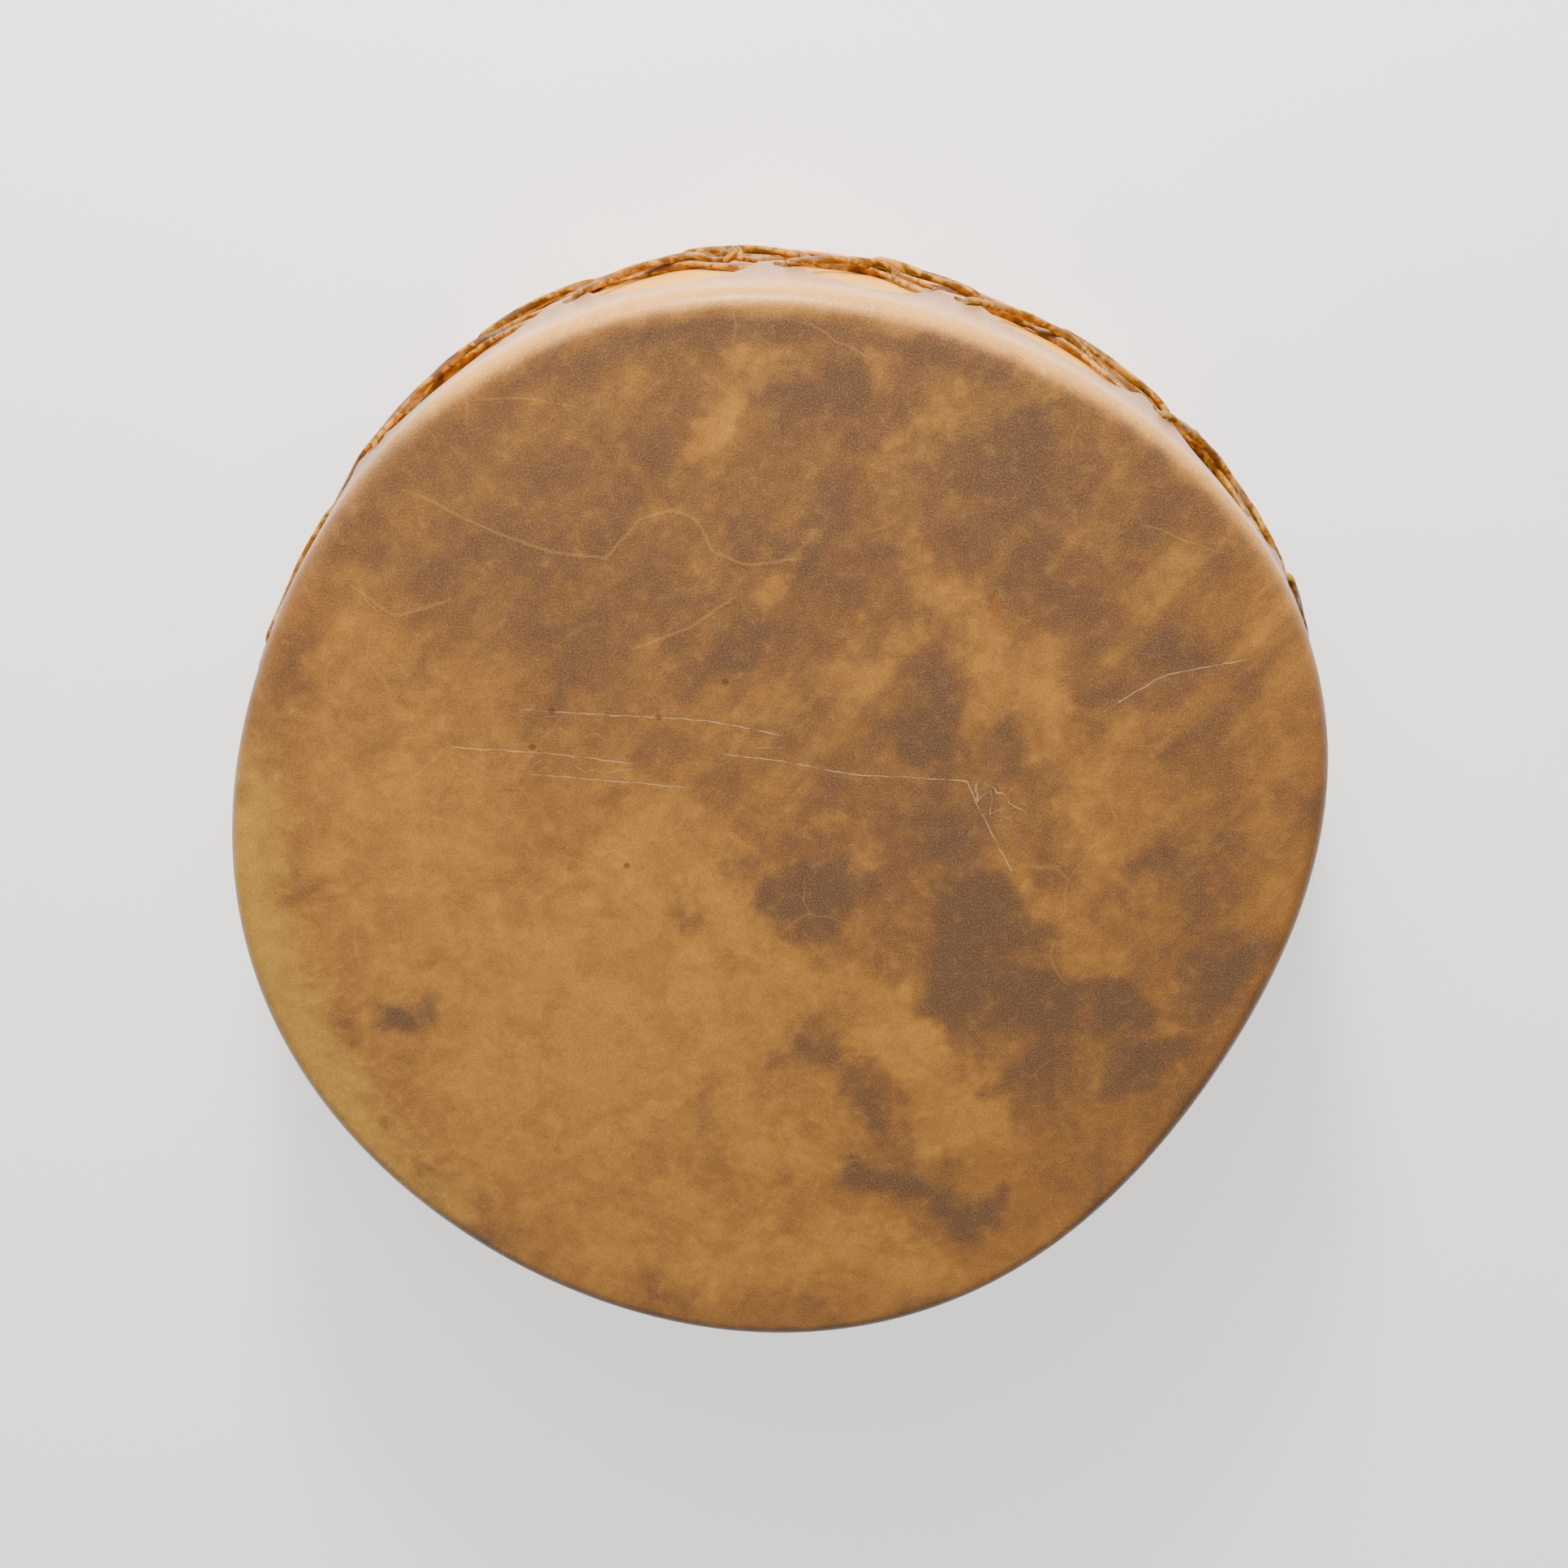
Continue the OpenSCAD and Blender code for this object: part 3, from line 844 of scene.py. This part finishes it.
HOOP_ROUND = FOLD - SKIN - GAP
HOOP_EASE = 1 * MM
HOOP_STEPS = 900
HOOP_ACROSS, HOOP_OUTSIDE, HOOP_INSIDE = 9, 14, 10  # vertices over an edge and up each side
SCARF_ANGLE = -90
SCARF_HALF = 10.0
SCARF_NOSE = 1.2 * MM
GLUE = 0.3 * MM
TACK_ROW = 27 * MM  # how far from the waist each row of tacks is
TACK_SIDES = 24
# A tack from its head to its clenched point: radius and height over the wood, in millimetres
TACK_PROFILE = ((0.01, 0.3), (1.2, 0.25), (2.2, 0.05), (2.5, -0.1), (1.0, -1.3), (1.0, -8.0),
                (1.7, -8.1), (1.8, -8.5), (1.4, -8.9), (0.01, -9.0))


def hoop_end(radius, wood_r):
    """How far from the hoop's middle its edge is, at a radius inside the plank."""
    half = WAIST - HOOP_LOW[2]
    over = np.clip(radius - (wood_r - HOOP_ROUND), 0, HOOP_ROUND)
    under = np.clip(wood_r - PLANK + HOOP_EASE - radius, 0, HOOP_EASE)
    return half - HOOP_ROUND + np.sqrt(HOOP_ROUND**2 - over**2) - under


def plank_sides(turn, wood_r):
    """The plank's outer and inner radius, which come together at its tapered ends."""
    outer, inner = wood_r, wood_r - PLANK
    if turn < SCARF_HALF:
        t = (turn + SCARF_HALF) / (2 * SCARF_HALF)
        outer = outer - (PLANK - SCARF_NOSE) * (1 - t) - GLUE * t / 2
    if turn > 360 - SCARF_HALF:
        t = (turn - 360 + SCARF_HALF) / (2 * SCARF_HALF)
        inner = inner + (PLANK - SCARF_NOSE) * t + GLUE / 2
    return outer, inner


def plank_profile(turn, wood_r):
    """The plank's section as (radius, height): up the outside, over, down the inside, and under."""
    outer, inner = plank_sides(turn, wood_r)
    across = np.linspace(outer, inner, HOOP_ACROSS)
    ends = hoop_end(across, wood_r)
    profile = [(outer, z) for z in np.linspace(-ends[0], ends[0], HOOP_OUTSIDE)]
    profile += list(zip(across[1:], ends[1:]))
    profile += [(inner, z) for z in np.linspace(ends[-1], -ends[-1], HOOP_INSIDE)[1:]]
    profile += list(zip(across[-2:0:-1], -ends[-2:0:-1]))
    return profile


def hoop(material):
    """One plank, bent round until its tapered ends overlap in the scarf."""
    vertices, grain, rows = [], [], []
    for turn in np.linspace(-SCARF_HALF, 360 + SCARF_HALF, HOOP_STEPS):
        theta = math.radians(SCARF_ANGLE + turn)
        first = len(vertices)
        for r, z in plank_profile(turn, float(wood(theta))):
            vertices.append((r * math.cos(theta), r * math.sin(theta), WAIST + z))
            grain.append((math.radians(turn) * RIM_R, z, r))
        rows.append(list(range(first, len(vertices))))
    piece = new_piece("hoop_plank", vertices, tube(rows), material, "hoop", 40)
    set_values(piece, "grain", grain)


def tacks(material):
    """Six tacks driven through the scarf and clenched inside."""
    vertices, faces = [], []
    for column in (-1, 0, 1):
        for row in (-1, 1):
            theta = math.radians(SCARF_ANGLE + column * SCARF_HALF / 2)
            out = Vector((math.cos(theta), math.sin(theta), 0))
            along = Vector((-math.sin(theta), math.cos(theta), 0))
            base = out * float(wood(theta)) + Vector((0, 0, WAIST + row * TACK_ROW))
            rings = []
            for radius, height in TACK_PROFILE:
                first = len(vertices)
                for j in range(TACK_SIDES):
                    a = 2 * math.pi * j / TACK_SIDES
                    spin = along * math.cos(a) + Vector((0, 0, math.sin(a)))
                    vertices.append(base + out * height * MM + spin * radius * MM)
                rings.append(list(range(first, first + TACK_SIDES)))
            faces += tube(rings)
    new_piece("tacks", vertices, faces, material, "scarf_tacks", 35)


# ---------- lacing ----------

# A strand's route: hole spacings on from its hole, millimetres in front of the waist for a
# strand that leaves the front head, millimetres over the wood, and share of its twist done
REACH_MM = (WAIST - HOLE_DEPTH) / MM
OVER_SKIN, OVER_LACE, LIE, PRESSED = 4.9, 5.0, 1.8, 1.35
OUT_OF_HOLE = (
    (0.000, REACH_MM, 2.2, 0.0),
    (0.026, REACH_MM - 0.2, 4.4, 0.0),
    (0.100, REACH_MM - 2.8, OVER_SKIN, 0.02),
    (0.220, REACH_MM - 10.0, OVER_SKIN, 0.12),
    (0.340, 4.6, OVER_LACE, 0.25),
    (0.450, 1.2, OVER_LACE, 0.36),
    (0.560, -1.2, OVER_LACE - 0.6, 0.46),
    (0.680, -1.6, LIE, 0.6),
)
KNOT_POINT = (0.766, -1.1, 3.2, 0.67)
INTO_SKIRT = (
    (0.920, 0.4, LIE - 0.1, 0.8),
    (1.040, -0.9, LIE - 0.1, 0.9),
    (1.130, -4.4, LIE - 0.1, 0.96),
    (1.220, -REACH_MM * 0.56, LIE - 0.1, 1.0),
    (1.300, -REACH_MM * 0.76, 1.7, 1.0),
    (1.375, -REACH_MM * 0.88, PRESSED, 1.0),
    (1.450, -REACH_MM * 0.98, PRESSED, 1.0),
)
BUNDLE_SHIFT = 4.0  # how far behind the waist the crossings lie
KNOTTED = (1, 10, 18, 26, 1 + 2 * HOLES)  # the strands with knots, where the lengths meet
# The points of a strand's route, and how many points come before them
PARTS = {
    "to_knot": (OUT_OF_HOLE + (KNOT_POINT,), 0),
    "from_knot": ((KNOT_POINT,) + INTO_SKIRT, len(OUT_OF_HOLE)),
    "whole": (OUT_OF_HOLE + INTO_SKIRT, 0),
}
ROUTE_ROWS = 16
WANDER = (0.018, 1.1, 0.35)  # how far a point strays: hole spacings, and millimetres across and out
STEP = 1.1 * MM
BETWEEN = 24  # places on the curve from one point of a route to the next
LACE_SIDES = 14
LACE_WIDE, LACE_THICK = 3.5 * MM, 2.8 * MM
PRESSED_WIDE, PRESSED_THICK = 4.8 * MM, 1.7 * MM  # where a skirt holds the lace down
SQUARENESS = 0.75  # an ellipse has 1, a rectangle 0
LUMP = 11 * MM
END_TAPER = 4 * MM
KNOT_SIZE, KNOT_STEP = 1.2 * MM, 0.7 * MM
KNOT_WIDE, KNOT_THICK = 3.0 * MM, 2.4 * MM
TAIL_WIDE, TAIL_THICK = 3.2 * MM, 2.0 * MM
TAIL = ((0, 0, 0), (3, 1.5, 0), (6.5, 2.2, 2))  # millimetres to the side, out, and along
CLEAR = 5.0  # millimetres over the wood: too high to be pressed


def spread(count, seed):
    """Repeatable numbers from -1 to 1."""
    return np.random.default_rng(seed).uniform(-1, 1, count)


def strand_twist(j):
    """How far strand j is twisted from end to end."""
    return (2 + j % 3) * math.pi


def strand_points(j, part):
    """The hand-made route of strand j, or of its part before or after its knot."""
    start, side = 1.5 * j, 1 if j % 2 == 0 else -1
    chosen, first = PARTS[part]
    wander = spread(3 * ROUTE_ROWS, 100 + j).reshape(ROUTE_ROWS, 3)[first:] * WANDER
    points = []
    for (u, v, h, twist), away in zip(chosen, wander):
        du, dv, dh = away * smooth(0.1, 0.4, u) * (1 - smooth(0.95, 1.2, u))
        v_now = side * (v + dv) - BUNDLE_SHIFT * (1 - min(1, abs(v / REACH_MM)) ** 2)
        points.append((start + u + du, v_now, h + max(dh, -0.1), strand_twist(j) * twist))
    return points


def lace_route(first, last):
    """Control points of the length from one knotted strand to another: x, y, z, height, twist."""
    points, done = [], 0.0
    for j in range(first, last + 1):
        part = "from_knot" if j == first else "to_knot" if j == last else "whole"
        for u, v, h, twist in strand_points(j, part):
            theta = float(angle_at(u))
            r = float(wood(theta)) + h * MM
            points.append((r * math.cos(theta), r * math.sin(theta), WAIST + v * MM, h, done + twist))
        done += strand_twist(j)
    return np.array(points)


def through(points, step):
    """A smooth curve through the points, in even steps."""
    padded = np.vstack([2 * points[0] - points[1], points, 2 * points[-1] - points[-2]])
    fine = []
    for i in range(1, len(padded) - 2):
        p0, p1, p2, p3 = padded[i - 1 : i + 3]
        t = np.linspace(0, 1, BETWEEN, endpoint=False)[:, None]
        gaps = np.diff(padded[i - 1 : i + 3, :3], axis=0)
        k0, k1, k2 = np.linalg.norm(gaps, axis=1) ** 0.5
        m1 = p2 - p1 + k1 * ((p1 - p0) / k0 - (p2 - p0) / (k0 + k1))
        m2 = p2 - p1 + k1 * ((p3 - p2) / k2 - (p3 - p1) / (k1 + k2))
        fine.append((2 * t**3 - 3 * t**2 + 1) * p1 + (t**3 - 2 * t**2 + t) * m1
                    + (3 * t**2 - 2 * t**3) * p2 + (t**3 - t**2) * m2)
    fine = np.vstack(fine + [points[-1:]])
    run = np.concatenate([[0], np.cumsum(np.linalg.norm(np.diff(fine[:, :3], axis=0), axis=1))])
    even = np.linspace(0, run[-1], max(4, int(run[-1] / step)))
    return np.stack([np.interp(even, run, fine[:, k]) for k in range(fine.shape[1])], 1), even


def strip_axes(centre, up):
    """Unit vectors along a strip's width and its thickness, before its twist."""
    tangent = np.gradient(centre, axis=0)
    tangent /= np.linalg.norm(tangent, axis=1, keepdims=True)
    wide = up - tangent * (tangent @ up)[:, None]
    wide /= np.linalg.norm(wide, axis=1, keepdims=True)
    return wide, np.cross(tangent, wide)


def strip_sizes(width, thickness, height, along, seed):
    """Half of a strip's width and of its thickness at each place along it."""
    pressed = 1 - smooth(1.4, 2.0, height)
    half_w = (width * (1 - pressed) + PRESSED_WIDE * pressed) / 2
    half_t = (thickness * (1 - pressed) + PRESSED_THICK * pressed) / 2
    lumps = rough(np.stack([along, along * 0, along * 0 + seed], 1), LUMP, seed)
    return half_w * (1 + 0.13 * lumps), half_t * (1 - 0.12 * lumps)


def squared(wave):
    """A sine or cosine made squarer, for a section fuller than an ellipse."""
    return np.sign(wave) * np.abs(wave) ** SQUARENESS


def clear_route(points, turned):
    """A route that stays clear of the wood: x, y, z, height, twist."""
    height = np.full(len(points), CLEAR)
    return np.column_stack([points, height, np.linspace(0, turned, len(points))])


class LaceMesh:
    """Vertices and faces of a lace, with each vertex's place on it and how near its edge it is."""

    def __init__(self):
        self.vertices, self.faces, self.place, self.edge = [], [], [], []

    def sweep(self, route, step, width, thickness, up=(0, 0, 1), seed=0, tapered=True):
        """A strip swept along a route. Columns 3 and 4 of the route are height over the wood and twist."""
        path, along = through(route, step)
        centre, height, twist = path[:, :3], path[:, 3], path[:, 4]
        wide, thick = strip_axes(centre, np.array(up, float))
        half_w, half_t = strip_sizes(width, thickness, height, along, seed)
        to_end = np.minimum(along, along[-1] - along)
        taper = np.minimum(1, 0.35 + to_end / END_TAPER) if tapered else np.ones(len(along))
        phi = 2 * math.pi * np.arange(LACE_SIDES) / LACE_SIDES
        cos_p, sin_p = squared(np.cos(phi)), squared(np.sin(phi))
        rings = []
        for i in range(len(centre)):
            a, b = half_w[i] * cos_p * taper[i], half_t[i] * sin_p * taper[i]
            ct, st = math.cos(twist[i]), math.sin(twist[i])
            x, y = a * ct - b * st, a * st + b * ct
            first = len(self.vertices)
            self.vertices += list(centre[i] + x[:, None] * wide[i] + y[:, None] * thick[i])
            self.place += [(along[i], a[k] + seed * 0.05, b[k]) for k in range(LACE_SIDES)]
            self.edge += list(np.abs(cos_p))
            rings.append(list(range(first, first + LACE_SIDES)))
        self.faces += tube(rings)

    def knot(self, at, tangent, out, seed):
        """An overhand knot pulled tight, with its short tail."""
        tangent = tangent / np.linalg.norm(tangent)
        side = np.cross(out, tangent)
        side /= np.linalg.norm(side)
        t = np.linspace(0, 2 * math.pi, 25)[:-1]
        x = KNOT_SIZE * (np.sin(t) + 2 * np.sin(2 * t)) * 1.05
        y = KNOT_SIZE * (np.cos(t) - 2 * np.cos(2 * t)) * 0.85
        z = -KNOT_SIZE * 1.1 * np.sin(3 * t)
        loop = at + x[:, None] * tangent + y[:, None] * side + z[:, None] * out
        loop = clear_route(np.vstack([loop, loop[:1]]), math.pi)
        self.sweep(loop, KNOT_STEP, KNOT_WIDE, KNOT_THICK, out + 0.01 * side, seed, tapered=False)
        tail = clear_route(at + np.array(TAIL) * MM @ np.array([side, out, tangent]), 1.0)
        self.sweep(tail, KNOT_STEP, TAIL_WIDE, TAIL_THICK, out + 0.3 * tangent, seed + 1)


def lace_length(number, material):
    """One length of lace, from its knot to the next, with the knot that joins it there."""
    route = lace_route(KNOTTED[number - 1], KNOTTED[number])
    mesh = LaceMesh()
    mesh.sweep(route, STEP, LACE_WIDE, LACE_THICK, seed=number)
    end, before = route[-1, :3], route[-2, :3]
    out = end * (1, 1, 0)
    out = out / np.linalg.norm(out)
    mesh.knot(end + out * 0.6 * MM, end - before, out, 10 + number)
    name = f"lace_length_{number}"
    piece = new_piece(f"{name}_strip", mesh.vertices, mesh.faces, material, name, 60)
    set_values(piece, "lace", mesh.place)
    set_values(piece, "edge", mesh.edge)


# ---------- studio and camera ----------

CAMERA_SIDE = 84  # degrees: the side the camera leans towards
TILT = 24.7
ROLL = 3.8
DISTANCE = 4.5 * RIM_R
SENSOR, LENS = 36, 57.5  # millimetres
SHIFT = (0.0093, 0.0481)  # how far the picture is moved, as shares of its width
FACE_CENTRE = Vector((0, 0, DEPTH))
# Each light's name, azimuth, angle from the drum's axis, distance, width and power
LIGHTS = (
    ("top_light", 95, 63, 1.5, 1.2, 20),
    ("glint", 91, 70, 1.5, 0.27, 40),
    ("overhead", 60, 25, 1.9, 1.4, 4),
    ("fill", 235, 60, 2.0, 1.6, 6),
)
SKY = 0.46
FLOOR_HALF = 30.0
FLOOR_BELOW = 0.2 * MM
FLOOR_GREY, FLOOR_GLOW = 0.93, 0.7
WHITE = (1, 1, 1, 1)


def direction(azimuth, from_axis):
    a, t = math.radians(azimuth), math.radians(from_axis)
    return Vector((math.sin(t) * math.cos(a), math.sin(t) * math.sin(a), math.cos(t)))


def camera():
    data = bpy.data.cameras.new("camera")
    data.sensor_width = SENSOR
    data.lens = LENS
    data.shift_x, data.shift_y = SHIFT
    data.clip_start, data.clip_end = 0.05, 50
    made = add_object("camera", data)
    back = direction(CAMERA_SIDE, TILT)
    right = back.cross(Vector((0, 0, 1))).normalized()
    up = back.cross(right)
    turn = math.radians(ROLL)
    new_right = right * math.cos(turn) + up * math.sin(turn)
    new_up = up * math.cos(turn) - right * math.sin(turn)
    rows = Matrix((new_right, new_up, back)).transposed().to_4x4()
    rows.translation = FACE_CENTRE + back * DISTANCE
    made.matrix_world = rows
    bpy.context.scene.camera = made


def softbox(name, azimuth, from_axis, distance, size, power):
    """A round light that faces the middle of the front face."""
    data = bpy.data.lights.new(name, "AREA")
    data.shape = "DISK"
    data.size = size
    data.energy = power
    made = add_object(name, data)
    away = direction(azimuth, from_axis)
    made.location = FACE_CENTRE + away * distance
    made.rotation_euler = away.to_track_quat("Z", "Y").to_euler()


def paper_floor():
    """White paper to beyond the horizon, just under the drum."""
    far = FLOOR_HALF
    mesh = bpy.data.meshes.new("floor")
    mesh.from_pydata([(-far, -far, 0), (far, -far, 0), (far, far, 0), (-far, far, 0)], [], [(0, 1, 2, 3)])
    paper = Shader("paper")
    paper.bsdf.inputs["Base Color"].default_value = (FLOOR_GREY, FLOOR_GREY, FLOOR_GREY, 1)
    paper.bsdf.inputs["Roughness"].default_value = 0.9
    paper.bsdf.inputs["Emission Color"].default_value = WHITE
    paper.bsdf.inputs["Emission Strength"].default_value = FLOOR_GLOW
    mesh.materials.append(paper.material)
    floor = add_object("floor", mesh)
    floor.location.z = -FLOOR_BELOW


def studio():
    """The floor, an even white sky, and the lights."""
    paper_floor()
    world = bpy.data.worlds.new("world")
    world.use_nodes = True
    background = world.node_tree.nodes["Background"]
    background.inputs[0].default_value = WHITE
    background.inputs[1].default_value = SKY
    bpy.context.scene.world = world
    for light in LIGHTS:
        softbox(*light)


camera()
studio()
LACE_MATERIAL = lace_hide()
head(True, rawhide("front_rawhide", True))
head(False, rawhide("rear_rawhide", False))
hoop(bent_wood())
tacks(tack_iron())
for length in range(1, len(KNOTTED)):
    lace_length(length, LACE_MATERIAL)
